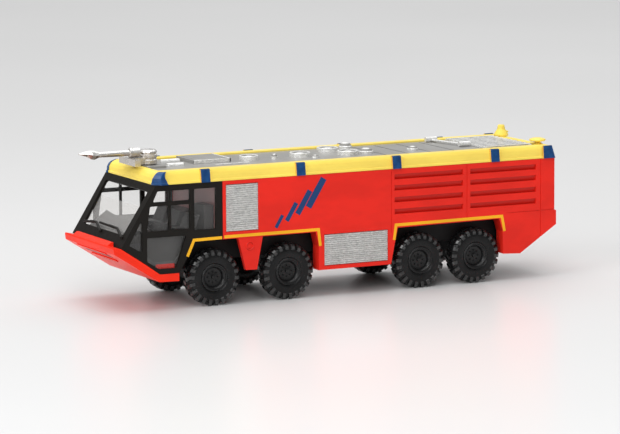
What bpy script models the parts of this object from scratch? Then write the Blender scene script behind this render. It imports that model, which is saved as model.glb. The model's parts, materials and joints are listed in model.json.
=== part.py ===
"""Eight-wheel airport fire tender, a 1:87 plastic display model.

Values are in millimetres. x runs forward from the front axle, y to the vehicle's left and z up
from the surface that the tyres stand on. One empty carries the whole model and puts the centre
of its length on the scene's origin.
"""
import math

import bmesh
import bpy
from mathutils import Vector

MM = 0.001

# Fits
GAP = 0.08            # between mouldings that rest against each other
BEARING_GAP = 0.2     # between an axle and its bore
WHEEL_GAP = 0.5       # between a wheel and what stands beside it

# Running gear
TYRE_RADIUS = 8.0
TYRE_WIDTH = 4.6
TRACK_OUTER = 16.3
AXLE_RADIUS = 0.75
AXLE_X = (0.0, -23.0, -65.15, -83.3)
WHEEL_STEPS = 32

# Body
HALF_WIDTH = 17.25
SHELL_WALL = 1.2
ARCH_RETURN = 3.8
BODY_FRONT = -2.2
BODY_REAR = -109.0
TAIL_BUMP = 0.6
EAVES_Z = 35.1
ARCH_Z = 18.8
BOX_FRONT = -32.0
BOX_REAR = -55.1
BOX_BOTTOM = 7.8
TAIL_FRONT = -91.9
TAIL_BOTTOM = 8.1
TAIL_CREASE_Z = 20.0

# Cab
CAB_WALL = 0.8
SCREEN_TOP_X = 18.2
SCREEN_FOOT = (28.7, 18.4)
CAB_FLOOR_Z = 10.4
GLASS_THICKNESS = 0.7
FOOTWELL_Z = 13.6
REAR_FLOOR_Z = 20.1
LIP_X = 31.0

# Roof
BAND_TOP_Z = 38.7
BAND_LEAN = 1.0
BAND_FRONT_LEAN = 2.2
BAND_INNER_Y = 12.85
BAND_FRONT_LEDGE = 0.7
REAR_LEDGE_X = -105.5
DECK_Z = 38.3
LAMP_THICKNESS = 0.6
LAMP_WIDTH = 2.8
LAMP_TOP_Z = BAND_TOP_Z + 0.15
LAMP_X = (3.1, -26.4, -56.9, -89.0)
REAR_LAMP_X = (-105.0, -108.9)

# Monitor
TURRET_X = 12.6
TURRET_RADIUS = 2.5
TURRET_TOP_Z = 43.1
BARREL_Z = 42.4
BARREL_RADIUS = 0.85
COLLAR_RADIUS = 1.35
NOZZLE_TIP_X = 33.6
KNOB_TOP_Z = 43.9
MONITOR_GAP = 0.3     # between the turning monitor and the roof under it
BRACKET_X = (17.4, 19.1)
BRACKET_HALF_WIDTH = 5.6
ARM_HALF_WIDTH = 1.8

TAIL_END = BODY_REAR - TAIL_BUMP
MODEL_SHIFT = -(NOZZLE_TIP_X + TAIL_END) / 2


def clear_scene():
    for thing in list(bpy.data.objects):
        bpy.data.objects.remove(thing, do_unlink=True)


def make_material(name, colour, roughness, metallic=0.0, transmission=0.0):
    material = bpy.data.materials.new(name)
    material.use_nodes = True
    shader = material.node_tree.nodes["Principled BSDF"]
    shader.inputs["Base Color"].default_value = (*colour, 1.0)
    shader.inputs["Roughness"].default_value = roughness
    shader.inputs["Metallic"].default_value = metallic
    shader.inputs["Transmission Weight"].default_value = transmission
    return material


# ---------------------------------------------------------------- solids

def solid(name, bm):
    """Link a closed mesh as an object, with its faces pointing out."""
    bmesh.ops.recalc_face_normals(bm, faces=bm.faces)
    bmesh.ops.scale(bm, vec=(MM, MM, MM), verts=bm.verts)
    mesh = bpy.data.meshes.new(name)
    bm.to_mesh(mesh)
    bm.free()
    thing = bpy.data.objects.new(name, mesh)
    bpy.context.collection.objects.link(thing)
    return thing


def point_on(axis, pair, depth):
    """Place an outline's pair at a depth along the extrusion axis."""
    first, second = pair
    if axis == "X":
        return (depth, first, second)
    if axis == "Y":
        return (first, depth, second)
    return (first, second, depth)


def loft(name, sections):
    """Solid through closed sections of equal point counts, with flat ends."""
    bm = bmesh.new()
    rings = [[bm.verts.new(point) for point in section] for section in sections]
    for ring, after in zip(rings, rings[1:]):
        count = len(ring)
        for index in range(count):
            following = (index + 1) % count
            bm.faces.new((ring[index], ring[following], after[following], after[index]))
    bm.faces.new(reversed(rings[0]))
    bm.faces.new(rings[-1])
    return solid(name, bm)


def prism(name, axis, outline, low, high):
    """Outline in the two other coordinates, extruded from low to high along an axis."""
    sections = [[point_on(axis, pair, depth) for pair in outline] for depth in (low, high)]
    return loft(name, sections)


def box(name, x_range, y_range, z_range):
    corners = [(x_range[0], z_range[0]), (x_range[1], z_range[0]),
               (x_range[1], z_range[1]), (x_range[0], z_range[1])]
    return prism(name, "Y", corners, y_range[0], y_range[1])


def lathe(name, axis, centre, profile, steps, start=0.0):
    """Turn (radius, along) points about an axis through centre; ends at radius 0 close it."""
    bm = bmesh.new()
    rings = []
    for radius, along in profile:
        ring = []
        for index in range(steps if radius > 0 else 1):
            angle = start + 2 * math.pi * index / steps
            pair = (radius * math.cos(angle), radius * math.sin(angle))
            ring.append(bm.verts.new(Vector(point_on(axis, pair, along)) + Vector(centre)))
        rings.append(ring)
    closed = profile[0][0] > 0
    pairs = list(zip(rings, rings[1:]))
    if closed:
        pairs.append((rings[-1], rings[0]))
    for ring, after in pairs:
        for index in range(steps):
            following = (index + 1) % steps
            corners = [ring[index % len(ring)], ring[following % len(ring)],
                       after[following % len(after)], after[index % len(after)]]
            bm.faces.new(list(dict.fromkeys(corners)))
    return solid(name, bm)


def cylinder(name, axis, centre, radius, low, high, steps=24):
    profile = [(0, low), (radius, low), (radius, high), (0, high)]
    return lathe(name, axis, centre, profile, steps)


def rounded(outline, radius, steps=3):
    """Outline with each corner replaced by a short arc."""
    result = []
    count = len(outline)
    for index in range(count):
        corner = Vector(outline[index])
        before = (Vector(outline[index - 1]) - corner).normalized()
        after = (Vector(outline[(index + 1) % count]) - corner).normalized()
        half_angle = before.angle(after) / 2
        reach = radius / math.tan(half_angle)
        middle = corner + (before + after).normalized() * radius / math.sin(half_angle)
        first = corner + before * reach - middle
        last = corner + after * reach - middle
        for step in range(steps + 1):
            arm = first.slerp(last, step / steps).normalized()
            result.append(tuple(middle + arm * radius))
    return result


def inset(outline, distance):
    """Outline moved inwards by a distance, mitred at its corners."""
    area = sum(a[0] * b[1] - b[0] * a[1] for a, b in zip(outline, outline[1:] + outline[:1]))
    turn = 1 if area > 0 else -1
    result = []
    count = len(outline)
    for index in range(count):
        corner = Vector(outline[index])
        before = (corner - Vector(outline[index - 1])).normalized()
        after = (Vector(outline[(index + 1) % count]) - corner).normalized()
        inward_before = Vector((-before.y, before.x)) * turn
        inward_after = Vector((-after.y, after.x)) * turn
        mitre = (inward_before + inward_after).normalized()
        result.append(tuple(corner + mitre * distance / mitre.dot(inward_after)))
    return result


def combine(thing, others, operation):
    """Cut other solids from this one, or weld them to it, and keep the result as its mesh."""
    for other in others:
        step = thing.modifiers.new(operation.lower(), "BOOLEAN")
        step.operation = operation
        step.solver = "EXACT"
        step.object = other
    bpy.context.view_layer.update()
    evaluated = thing.evaluated_get(bpy.context.evaluated_depsgraph_get())
    result = bpy.data.meshes.new_from_object(evaluated)
    thing.modifiers.clear()
    thing.data = result
    for other in others:
        bpy.data.objects.remove(other, do_unlink=True)
    return thing


def cut(thing, *cutters):
    return combine(thing, cutters, "DIFFERENCE")


def weld(thing, *others):
    return combine(thing, others, "UNION")


def finish(thing, material, parent, smooth_angle=None):
    thing.data.materials.clear()
    thing.data.materials.append(material)
    thing.parent = parent
    if smooth_angle is not None:
        thing.data.shade_smooth()
        thing.data.set_sharp_from_angle(angle=math.radians(smooth_angle))
    return thing


def empty(name, location, parent=None):
    thing = bpy.data.objects.new(name, None)
    thing.location = Vector(location) * MM
    thing.parent = parent
    bpy.context.collection.objects.link(thing)
    return thing


def side_names(stem):
    return ((stem + "_left", 1), (stem + "_right", -1))


# ---------------------------------------------------------------- body

def body_outline():
    """Side view of the red body, with both wheel arches, from the front eaves round."""
    return [
        (BODY_FRONT, EAVES_Z), (BODY_FRONT, ARCH_Z),
        (BOX_FRONT + 0.9, ARCH_Z), (BOX_FRONT - 0.1, ARCH_Z - 4.1), (BOX_FRONT, BOX_BOTTOM),
        (BOX_REAR, BOX_BOTTOM), (BOX_REAR - 1.4, ARCH_Z - 4.1), (BOX_REAR - 2.2, ARCH_Z - 0.6),
        (TAIL_FRONT + 1.4, ARCH_Z - 0.3), (TAIL_FRONT + 0.2, ARCH_Z - 4.1),
        (TAIL_FRONT, TAIL_BOTTOM), (TAIL_FRONT - 5.6, TAIL_BOTTOM - 0.3),
        (TAIL_END, 15.6), (TAIL_END, TAIL_CREASE_Z - 0.4), (BODY_REAR, TAIL_CREASE_Z),
        (BODY_REAR, EAVES_Z),
    ]


LOUVRE_TOPS = (33.6, 30.4, 27.0, 23.6)
LOUVRE_HEIGHT = 1.5
LOUVRE_LIP = 0.3
LOUVRE_DEPTH = 0.85
LOUVRE_RANGES = ((-56.3, -78.6), (-81.0, -102.8))
SEAM_WIDTH = 0.24
SEAM_DEPTH = 0.18
PANEL_SEAMS = (-55.25, -79.85, -104.3)
SHUTTERS = {"front": (-3.2, -13.2, 20.7, 34.1), "middle": (-33.8, -54.1, 8.9, 17.9)}
SHUTTER_DEPTH = 0.5


def louvre_cutter(x_range, top, side):
    """One slot whose back leans in towards its lower edge."""
    face = side * HALF_WIDTH
    section = [(face + side, top), (face - side * LOUVRE_LIP, top),
               (face - side * LOUVRE_DEPTH, top - LOUVRE_HEIGHT), (face + side, top - LOUVRE_HEIGHT)]
    return prism("louvre", "X", section, x_range[1], x_range[0])


def seam_cutters(side):
    face = side * HALF_WIDTH
    y_range = sorted((face - side * SEAM_DEPTH, face + side))
    for x in PANEL_SEAMS:
        low = ARCH_Z - 2 if x != PANEL_SEAMS[-1] else TAIL_BOTTOM
        yield box("seam", (x - SEAM_WIDTH / 2, x + SEAM_WIDTH / 2), y_range, (low, EAVES_Z + 1))
    z_range = (TAIL_CREASE_Z - SEAM_WIDTH / 2, TAIL_CREASE_Z + SEAM_WIDTH / 2)
    yield box("crease", (TAIL_END - 1, TAIL_FRONT - 1.5), y_range, z_range)


def shutter_cutter(place, side):
    front, rear, low, high = SHUTTERS[place]
    face = side * HALF_WIDTH
    y_range = sorted((face - side * SHUTTER_DEPTH, face + side))
    return box("recess", (rear, front), y_range, (low, high))


POST_THICKNESS = 1.4
POST_SET_BACK = 0.15


def arch_post(side):
    """Tapered skirt that hangs between the two front wheels."""
    face = side * (HALF_WIDTH - POST_SET_BACK)
    outline = [(-6.8, ARCH_Z + 0.6), (-14.7, ARCH_Z + 0.6), (-12.7, 9.5), (-9.3, 9.6)]
    return prism("post", "Y", outline, *sorted((face - side * POST_THICKNESS, face)))


def make_body(material, parent):
    """Hollow moulding, open below, with returns along its wheel arches."""
    outline = body_outline()
    shell = prism("body_shell", "Y", outline, -HALF_WIDTH, HALF_WIDTH)
    inner = HALF_WIDTH - SHELL_WALL
    cavity = prism("cavity", "Y", inset(outline, SHELL_WALL), -inner, inner)
    reach = HALF_WIDTH - ARCH_RETURN
    tunnel = [(BODY_FRONT - SHELL_WALL, EAVES_Z - SHELL_WALL), (BODY_FRONT - SHELL_WALL, ARCH_Z - 15),
              (BODY_REAR + SHELL_WALL, ARCH_Z - 15), (BODY_REAR + SHELL_WALL, EAVES_Z - SHELL_WALL)]
    tunnel = prism("tunnel", "Y", tunnel, -reach, reach)
    cut(shell, cavity, tunnel)
    weld(shell, arch_post(1), arch_post(-1))
    cutters = []
    for side in (1, -1):
        for x_range in LOUVRE_RANGES:
            cutters += [louvre_cutter(x_range, top, side) for top in LOUVRE_TOPS]
        cutters += list(seam_cutters(side))
        cutters += [shutter_cutter(place, side) for place in SHUTTERS]
    cut(shell, *cutters)
    return finish(shell, material, parent)


def make_shutters(material, parent):
    for place, (front, rear, low, high) in SHUTTERS.items():
        for name, side in side_names("shutter_" + place):
            back = side * (HALF_WIDTH - SHUTTER_DEPTH + GAP)
            y_range = sorted((back, side * HALF_WIDTH))
            panel = box(name, (rear + GAP, front - GAP), y_range, (low + GAP, high - GAP))
            finish(panel, material, parent)


# ---------------------------------------------------------------- cab

def cab_outline():
    """Side view of the black cab frame, from its top front corner round."""
    return [
        (SCREEN_TOP_X, EAVES_Z), (BODY_FRONT + GAP, EAVES_Z), (BODY_FRONT + GAP, ARCH_Z + 0.1),
        (6.3, ARCH_Z - 0.1), (8.6, 14.7), (11.2, CAB_FLOOR_Z), (17.1, CAB_FLOOR_Z),
        (21.5, 13.6), SCREEN_FOOT,
    ]


SIDE_PANES = (
    [(17.6, 33.5), (14.2, 33.5), (14.2, 30.5), (19.1, 30.5)],
    [(13.6, 33.5), (7.8, 33.5), (7.8, 30.5), (13.6, 30.5)],
    [(19.9, 29.4), (14.2, 29.4), (14.2, 22.5), (20.9, 22.5)],
    [(13.6, 29.4), (7.8, 29.4), (7.8, 22.5), (13.6, 22.5)],
    [(20.9, 20.7), (8.9, 20.7), (12.2, 11.8), (17.4, 11.8), (20.9, 14.1)],
    [(22.3, 26.0), (22.3, 16.7), (26.3, 19.0)],
    [(6.5, 33.5), (-0.1, 33.5), (-0.1, 21.9), (6.5, 21.9)],
)
PANE_CORNER = 0.35


def screen_point(down, across, outward):
    """Point from the windscreen plane's top edge: down its slope, across, and outward."""
    top = Vector((SCREEN_TOP_X, 0, EAVES_Z))
    slope = (Vector((SCREEN_FOOT[0], 0, SCREEN_FOOT[1])) - top).normalized()
    normal = Vector((-slope.z, 0, slope.x))
    return tuple(top + slope * down + normal * outward + Vector((0, across, 0)))


SCREEN_PANE = [(2.1, -14.6), (2.1, 14.6), (16.0, 13.9), (16.0, -13.9)]


def make_cab_frame(material, parent):
    outline = cab_outline()
    frame = prism("cab_frame", "Y", outline, -HALF_WIDTH, HALF_WIDTH)
    inner = inset(outline, CAB_WALL)
    inner[1] = (BODY_FRONT - 1, inner[1][1])
    inner[2] = (BODY_FRONT - 1, ARCH_Z - 3)
    inner[3] = (inner[3][0] - 2, ARCH_Z - 3)
    inner[4] = (inner[4][0], inner[4][1] - 4)
    inner[5] = (inner[5][0], CAB_FLOOR_Z - 2)
    inner[6] = (inner[6][0] + 1, CAB_FLOOR_Z - 2)
    inner[7] = (inner[7][0] + 1, inner[7][1] - 3)
    reach = HALF_WIDTH - CAB_WALL
    cavity = prism("cavity", "Y", inner, -reach, reach)
    panes = [prism("pane", "Y", rounded(pane, PANE_CORNER), -HALF_WIDTH - 1, HALF_WIDTH + 1)
             for pane in SIDE_PANES]
    ring = rounded(SCREEN_PANE, PANE_CORNER * 2)
    screen = loft("screen", [[screen_point(down, across, depth) for down, across in ring]
                             for depth in (-2, 2)])
    cut(frame, cavity, screen, *panes)
    return finish(frame, material, parent)


def make_glazing(material, parent):
    """One clear insert: windscreen and both sides, open above, behind and below."""
    outline = cab_outline()
    outer = inset(outline, CAB_WALL + GAP)
    inner = inset(outline, CAB_WALL + GAP + GLASS_THICKNESS)
    low = CAB_FLOOR_Z + 1.0
    rear = BODY_FRONT + GAP + 0.6
    top = EAVES_Z - CAB_WALL - GAP
    outer[1] = (rear, top)
    outer[2] = (rear, ARCH_Z + 1.4)
    outer[3] = (outer[3][0] + 0.4, ARCH_Z + 1.4)
    outer[5] = (outer[5][0], low)
    outer[6] = (outer[6][0], low)
    reach = HALF_WIDTH - CAB_WALL - GAP
    insert = prism("cab_glazing", "Y", outer, -reach, reach)
    inner[0] = (inner[0][0] - 1.5, EAVES_Z + 3)
    inner[1] = (rear - 3, EAVES_Z + 3)
    inner[2] = (rear - 3, CAB_FLOOR_Z - 3)
    inner[3] = (rear + 3, CAB_FLOOR_Z - 3)
    inner[4] = (rear + 5, CAB_FLOOR_Z - 3)
    inner[5] = (inner[5][0], CAB_FLOOR_Z - 3)
    inner[6] = (inner[6][0] + 3, CAB_FLOOR_Z - 3)
    inner[7] = (inner[7][0] + 3, inner[7][1] - 5)
    slope = (Vector(SCREEN_FOOT) - Vector((SCREEN_TOP_X, EAVES_Z))).normalized()
    inner[8] = tuple(Vector(inner[8]) + slope * 4)
    room = reach - GLASS_THICKNESS
    cut(insert, prism("room", "Y", inner, -room, room))
    return finish(insert, material, parent)


def make_tub(material, parent):
    """Cab floor: a low footwell in front and a raised deck over the front wheels."""
    under = REAR_FLOOR_Z - 1.0
    floor = [
        (BODY_FRONT + 0.4, under), (7.2, under), (9.5, 15.0), (11.2, FOOTWELL_Z - 1.0),
        (18.4, FOOTWELL_Z - 1.0), (25.8, 18.0), (25.4, 19.0), (18.0, FOOTWELL_Z),
        (12.0, FOOTWELL_Z), (10.4, 15.4), (8.0, REAR_FLOOR_Z), (BODY_FRONT + 0.4, REAR_FLOOR_Z),
    ]
    reach = HALF_WIDTH - CAB_WALL - GLASS_THICKNESS - 3 * GAP
    return finish(prism("cab_floor", "Y", floor, -reach, reach), material, parent)


def make_dashboard(material, parent):
    outline = [(20.6, 15.7), (24.6, 18.6), (24.3, 21.6), (22.0, 22.6), (19.9, 21.4), (20.2, 16.4)]
    board = prism("dashboard", "Y", outline, -13.8, 13.8)
    return finish(board, material, parent)


# Each row: foot of the backrest, cushion height, top of the backrest, floor height, seats across
SEAT_ROWS = {
    "front": (13.0, 16.2, 23.4, FOOTWELL_Z, (8.0, -8.0)),
    "rear": (4.3, 21.6, 25.4, REAR_FLOOR_Z, (9.2, 0.0, -9.2)),
}
SEAT_WIDTH = 6.4
SEAT_CUSHION = 1.3        # thickness of a cushion
SEAT_LENGTH = 5.6
BACKREST_TOP = 1.6        # thickness of a backrest at its top
LOCKER_X = (-1.5, 1.4)    # lockers behind the rear seats
LOCKER_SPLIT_Y = 6.0
LOCKER_HALF_WIDTH = 12.6
LOCKER_TOPS_Z = (28.0, 25.0)
REAR_PLINTH_FRONT = 7.0


def seat_outline(back_x, cushion_z, top_z):
    low = cushion_z - SEAT_CUSHION
    front = back_x + SEAT_LENGTH
    return [(back_x, low), (front, low), (front + 0.2, cushion_z + 0.3), (back_x + 1.7, cushion_z - 0.1),
            (back_x - 0.1, top_z), (back_x - 0.1 - BACKREST_TOP, top_z)]


def make_seats(material, parent):
    """Two seats in front and three behind, each row on one plinth, and a tall and a low locker at the rear."""
    for row, (back_x, cushion_z, top_z, floor_z, middles) in SEAT_ROWS.items():
        outline = seat_outline(back_x, cushion_z, top_z)
        pieces = [prism("seat", "Y", outline, y - SEAT_WIDTH / 2, y + SEAT_WIDTH / 2) for y in middles]
        foot = floor_z + GAP
        if row == "rear":
            tall, low = LOCKER_TOPS_Z
            pieces.append(box("tall_locker", LOCKER_X, (LOCKER_SPLIT_Y, LOCKER_HALF_WIDTH), (foot, tall)))
            pieces.append(box("low_locker", LOCKER_X, (-LOCKER_HALF_WIDTH, LOCKER_SPLIT_Y + 0.1), (foot, low)))
            plinth_x = (LOCKER_X[1] - 0.2, REAR_PLINTH_FRONT)
        else:
            plinth_x = (back_x + 0.6, back_x + 4.0)
        span = (middles[-1] - 2.0, middles[0] + 2.0)
        plinth = box("seats_" + row, plinth_x, span, (foot, cushion_z - SEAT_CUSHION + 0.3))
        weld(plinth, *pieces)
        finish(plinth, material, parent)


STEERING_WHEEL_PLACE = (17.5, 8.0, 22.7)
STEERING_WHEEL_TILT = -38      # degrees about the axis across the truck
STEERING_WHEEL_RADIUS = 2.4


def make_steering_wheel(material, parent):
    rim = STEERING_WHEEL_RADIUS
    ring = [(rim - 0.5, -0.2), (rim, -0.2), (rim, 0.2), (rim - 0.5, 0.2)]
    wheel = lathe("steering_wheel", "Z", (0, 0, 0), ring, 20)
    hub = cylinder("hub", "Z", (0, 0, 0), 0.5, -2.6, 0.2, 10)
    spoke = box("spoke", (0.3 - rim, rim - 0.3), (-0.25, 0.25), (-0.15, 0.15))
    weld(wheel, hub, spoke)
    wheel.location = Vector(STEERING_WHEEL_PLACE) * MM
    wheel.rotation_euler = (0, math.radians(STEERING_WHEEL_TILT), 0)
    return finish(wheel, material, parent, 40)


LEDGE_HALF_WIDTH = 12.2


def make_bumper(material, parent):
    """Red apron that wraps the cab's nose, from the front lip down to the sills."""
    foot_x, foot_z = SCREEN_FOOT
    outline = [
        (11.3, CAB_FLOOR_Z - GAP), (17.1, CAB_FLOOR_Z - GAP), (21.6, 13.5),
        (foot_x + 0.05, foot_z - 0.15), (LIP_X - 0.15, foot_z + 0.3), (LIP_X, foot_z - 0.1),
        (LIP_X - 0.2, 16.8), (17.3, 8.2), (11.3, 8.1),
    ]
    ledge = [
        (foot_x + 0.15, foot_z - 0.6), (foot_x + 0.15, foot_z + 1.15), (foot_x + 0.8, foot_z + 1.15),
        (LIP_X - 0.3, foot_z + 0.25), (LIP_X - 0.3, foot_z - 0.6),
    ]
    bumper = prism("front_bumper", "Y", outline, -HALF_WIDTH, HALF_WIDTH)
    weld(bumper, prism("ledge", "Y", ledge, -LEDGE_HALF_WIDTH, LEDGE_HALF_WIDTH))
    return finish(bumper, material, parent)


# ---------------------------------------------------------------- roof

# Share of the band's height, then how far its side and its front stand in at that level
BAND_PROFILE = (
    (0.0, 0.05, 0.0), (0.16, 0.1, 0.0), (0.2, 0.3, 0.2), (0.5, 0.35, 0.35),
    (0.75, 0.5, 0.9), (0.9, 0.75, 1.5), (1.0, BAND_LEAN, BAND_FRONT_LEAN),
)
BAND_CORNER_LOW = 1.9
BAND_CORNER_TOP = 1.0


def band_levels():
    """Height, both insets and cut corner of each level of the roof band's convex section."""
    low = EAVES_Z + GAP
    height = BAND_TOP_Z - low
    narrowing = BAND_CORNER_LOW - BAND_CORNER_TOP
    return [(low + height * share, side, front, BAND_CORNER_LOW - narrowing * share)
            for share, side, front in BAND_PROFILE]


def band_section(z, side_inset, front_inset, corner):
    """One level of the roof band's plan, with its front corners cut."""
    front = SCREEN_TOP_X - front_inset
    rear = BODY_REAR + side_inset
    half_width = HALF_WIDTH - side_inset
    return [(front, half_width - corner, z), (front - corner, half_width, z),
            (rear, half_width, z), (rear, -half_width, z),
            (front - corner, -half_width, z), (front, -half_width + corner, z)]


def deck_front():
    return SCREEN_TOP_X - BAND_FRONT_LEAN - BAND_FRONT_LEDGE


def make_band(material, parent):
    band = loft("roof_band", [band_section(*level) for level in band_levels()])
    well = box("well", (REAR_LEDGE_X, deck_front()), (-BAND_INNER_Y, BAND_INNER_Y),
               (EAVES_Z - 1, BAND_TOP_Z + 1))
    cut(band, well)
    return finish(band, material, parent)


def lamp_section(side):
    """Section of a side lamp, which follows the band's face and stands above its top edge."""
    inner = [(HALF_WIDTH - inset + GAP, z) for z, inset, _, _ in band_levels()]
    foot = HALF_WIDTH + LAMP_THICKNESS
    head = foot - BAND_LEAN / 2
    top = [(inner[-1][0], LAMP_TOP_Z), (head - 0.2, LAMP_TOP_Z), (head, LAMP_TOP_Z - 0.2)]
    points = inner + top + [(foot, EAVES_Z + GAP)]
    return [(side * y, z) for y, z in points]


def make_side_lamps(material, parent):
    for index, x in enumerate(LAMP_X, start=1):
        for name, side in side_names("lamp_%d" % index):
            section = lamp_section(side)
            lamp = prism(name, "X", section, x - LAMP_WIDTH / 2, x + LAMP_WIDTH / 2)
            finish(lamp, material, parent)


FRONT_LAMP_REACH_LOW = 2.0
FRONT_LAMP_REACH_TOP = 0.4


def front_lamp_section(side, z, side_inset, front_inset, corner):
    """One level of a front corner lamp: a skin on the band's cut corner and beside it."""
    front = SCREEN_TOP_X - front_inset + GAP
    edge = HALF_WIDTH - side_inset + GAP
    skin = LAMP_THICKNESS - GAP
    mitre = skin * math.tan(math.pi / 8)
    share = (corner - BAND_CORNER_TOP) / (BAND_CORNER_LOW - BAND_CORNER_TOP)
    reach = FRONT_LAMP_REACH_TOP + (FRONT_LAMP_REACH_LOW - FRONT_LAMP_REACH_TOP) * share
    points = [
        (front + skin, edge - corner + mitre), (front - corner + mitre, edge + skin),
        (front - corner - reach, edge + skin), (front - corner - reach, edge),
        (front - corner, edge), (front, edge - corner),
    ]
    return [(x, side * y, z) for x, y in points]


def make_front_lamps(material, parent):
    """Corner lamps that cover the band's cut front corners."""
    for name, side in side_names("lamp_front"):
        sections = [front_lamp_section(side, *level) for level in band_levels()]
        finish(loft(name, sections), material, parent)


REAR_LAMP_TAPER = 1.0


def make_rear_lamps(material, parent):
    """Corner lamps at the tail, standing on the band's outer edge."""
    low = EAVES_Z + GAP
    front, rear = REAR_LAMP_X
    for name, side in side_names("lamp_rear"):
        foot = side * (HALF_WIDTH + GAP)
        head = side * (HALF_WIDTH - BAND_LEAN / 3 + GAP)
        skin = side * LAMP_THICKNESS
        sections = [
            [(front, foot, low), (rear, foot, low), (rear, foot + skin, low), (front, foot + skin, low)],
            [(front, head, LAMP_TOP_Z), (rear + REAR_LAMP_TAPER, head, LAMP_TOP_Z),
             (rear + REAR_LAMP_TAPER, head + skin, LAMP_TOP_Z), (front, head + skin, LAMP_TOP_Z)],
        ]
        finish(loft(name, sections), material, parent)


# Centre x and y, radius, height above the deck
FILLERS = ((-18.4, 0.4, 2.7, 1.2), (-34.3, 1.0, 3.0, 1.2), (-46.5, -5.6, 3.1, 1.2), (-48.3, 3.6, 3.0, 1.2))
DOMES = ((-53.8, -8.6, 1.9, 1.9), (-54.4, 3.2, 2.1, 1.5), (-69.6, 3.2, 1.6, 1.1), (-25.6, 2.2, 0.9, 1.4),
         (-36.9, 5.6, 0.9, 0.8))
PIPES = ((3.2, -6.4, 3.0), (5.5, 2.4, 2.6))
PIPE_RADIUS = 0.75
HATCH_X = (-12.0, -0.6)
HATCH_Y = (-10.2, 1.8)
HATCH_HEIGHT = 1.0
SINK = 0.3            # how far a welded fitting reaches into the deck


def filler(centre_x, centre_y, radius, height):
    profile = [(0, -SINK), (radius, -SINK), (radius, height * 0.6), (radius * 0.85, height),
               (radius * 0.7, height), (radius * 0.62, height * 0.75), (0, height * 0.75)]
    return lathe("filler", "Z", (centre_x, centre_y, DECK_Z), profile, 20)


def dome(centre_x, centre_y, radius, height):
    profile = [(0, -SINK), (radius, -SINK), (radius, height * 0.4), (radius * 0.75, height * 0.85), (0, height)]
    return lathe("dome", "Z", (centre_x, centre_y, DECK_Z), profile, 16)


def make_deck(material, parent):
    """Grey roof slab with its hatch, fillers and vents."""
    reach = BAND_INNER_Y - GAP
    front = deck_front() - GAP
    rear = REAR_LEDGE_X + GAP
    deck = box("roof_deck", (rear, front), (-reach, reach), (EAVES_Z + GAP, DECK_Z))
    hatch = box("hatch", HATCH_X, HATCH_Y, (DECK_Z - SINK, DECK_Z + HATCH_HEIGHT))
    plinth_top = BAND_TOP_Z + GAP * 2
    plinth = box("plinth", (TURRET_X - TURRET_RADIUS - 0.5, front),
                 (-BRACKET_HALF_WIDTH, BRACKET_HALF_WIDTH), (DECK_Z - SINK, plinth_top))
    pipes = [cylinder("pipe", "X", (x, y, DECK_Z), PIPE_RADIUS, -half_length, half_length, 12)
             for x, y, half_length in PIPES]
    items = [filler(*values) for values in FILLERS] + [dome(*values) for values in DOMES]
    weld(deck, hatch, plinth, *pipes, *items)
    return finish(deck, material, parent, 35)


RAIL_PIPES = ((-83.2, -10.6), (-86.4, 3.8))
RAIL_PIPE_HALF_LENGTH = 1.8
RAIL_ROD_RADIUS = 0.35
RAIL_ROD_DROP = 0.2


def make_rail(material, parent):
    """Two short pipes along the truck, joined by a thin rod across the roof."""
    centre_z = DECK_Z + GAP + PIPE_RADIUS
    pipes = [cylinder("cross_rail", "X", (x, y, centre_z), PIPE_RADIUS,
                      -RAIL_PIPE_HALF_LENGTH, RAIL_PIPE_HALF_LENGTH, 14) for x, y in RAIL_PIPES]
    (first_x, first_y), (last_x, last_y) = RAIL_PIPES
    slope = (last_x - first_x) / (last_y - first_y)
    radius = RAIL_ROD_RADIUS
    sections = []
    for y in (first_y, last_y):
        x = first_x + slope * (y - first_y)
        sections.append([(x + radius * math.cos(angle), y, centre_z - RAIL_ROD_DROP + radius * math.sin(angle))
                         for angle in (math.pi * step / 4 for step in range(8))])
    rail = pipes[0]
    rail.name = "cross_rail"
    weld(rail, loft("rod", sections), pipes[1])
    return finish(rail, material, parent, 35)


GRILLE_X = (-104.4, -88.8)
GRILLE_HALF_WIDTH = 12.2
GRILLE_SLATS = 9
GRILLE_BAR = 0.8
GRILLE_BAR_HEIGHT = 0.3
GRILLE_SLAT_HEIGHT = 0.6


def make_grille(material, parent):
    """Rear roof grille: slats along the truck on two cross bars."""
    rear, front = GRILLE_X
    reach = GRILLE_HALF_WIDTH
    low = DECK_Z + GAP
    bars = [box("bar", (x, x + GRILLE_BAR), (-reach, reach), (low, low + GRILLE_BAR_HEIGHT))
            for x in (rear, front - GRILLE_BAR)]
    pitch = 2 * reach / GRILLE_SLATS
    slats = []
    for index in range(GRILLE_SLATS):
        y = -reach + pitch * (index + 0.5)
        slats.append(box("slat", GRILLE_X, (y - pitch / 4, y + pitch / 4), (low, low + GRILLE_SLAT_HEIGHT)))
    grille = bars[0]
    grille.name = "rear_grille"
    weld(grille, bars[1], *slats)
    return finish(grille, material, parent)


FITTING_X = -107.1
SAUCER_Y = 10.6
SPOUT_Y = -10.8


def make_rear_fittings(material, parent):
    """Yellow roof fittings at the tail: a saucer on a stem and a hooded spout."""
    stand = BAND_TOP_Z + GAP
    saucer = [(0, 0), (1.5, 0), (0.9, 0.3), (0.9, 0.5), (2.2, 0.7), (2.45, 1.0), (2.3, 1.3), (1.4, 1.6), (0, 1.6)]
    left = lathe("rear_fitting_left", "Z", (FITTING_X, SAUCER_Y, stand), saucer, 20)
    finish(left, material, parent, 40)
    spout = [(0, 0), (2.1, 0), (2.15, 0.5), (1.7, 1.3), (1.2, 2.0), (1.0, 3.1), (0.8, 3.3), (0, 3.3)]
    right = lathe("rear_fitting_right", "Z", (FITTING_X, SPOUT_Y, stand), spout, 20)
    finish(right, material, parent, 40)


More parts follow.
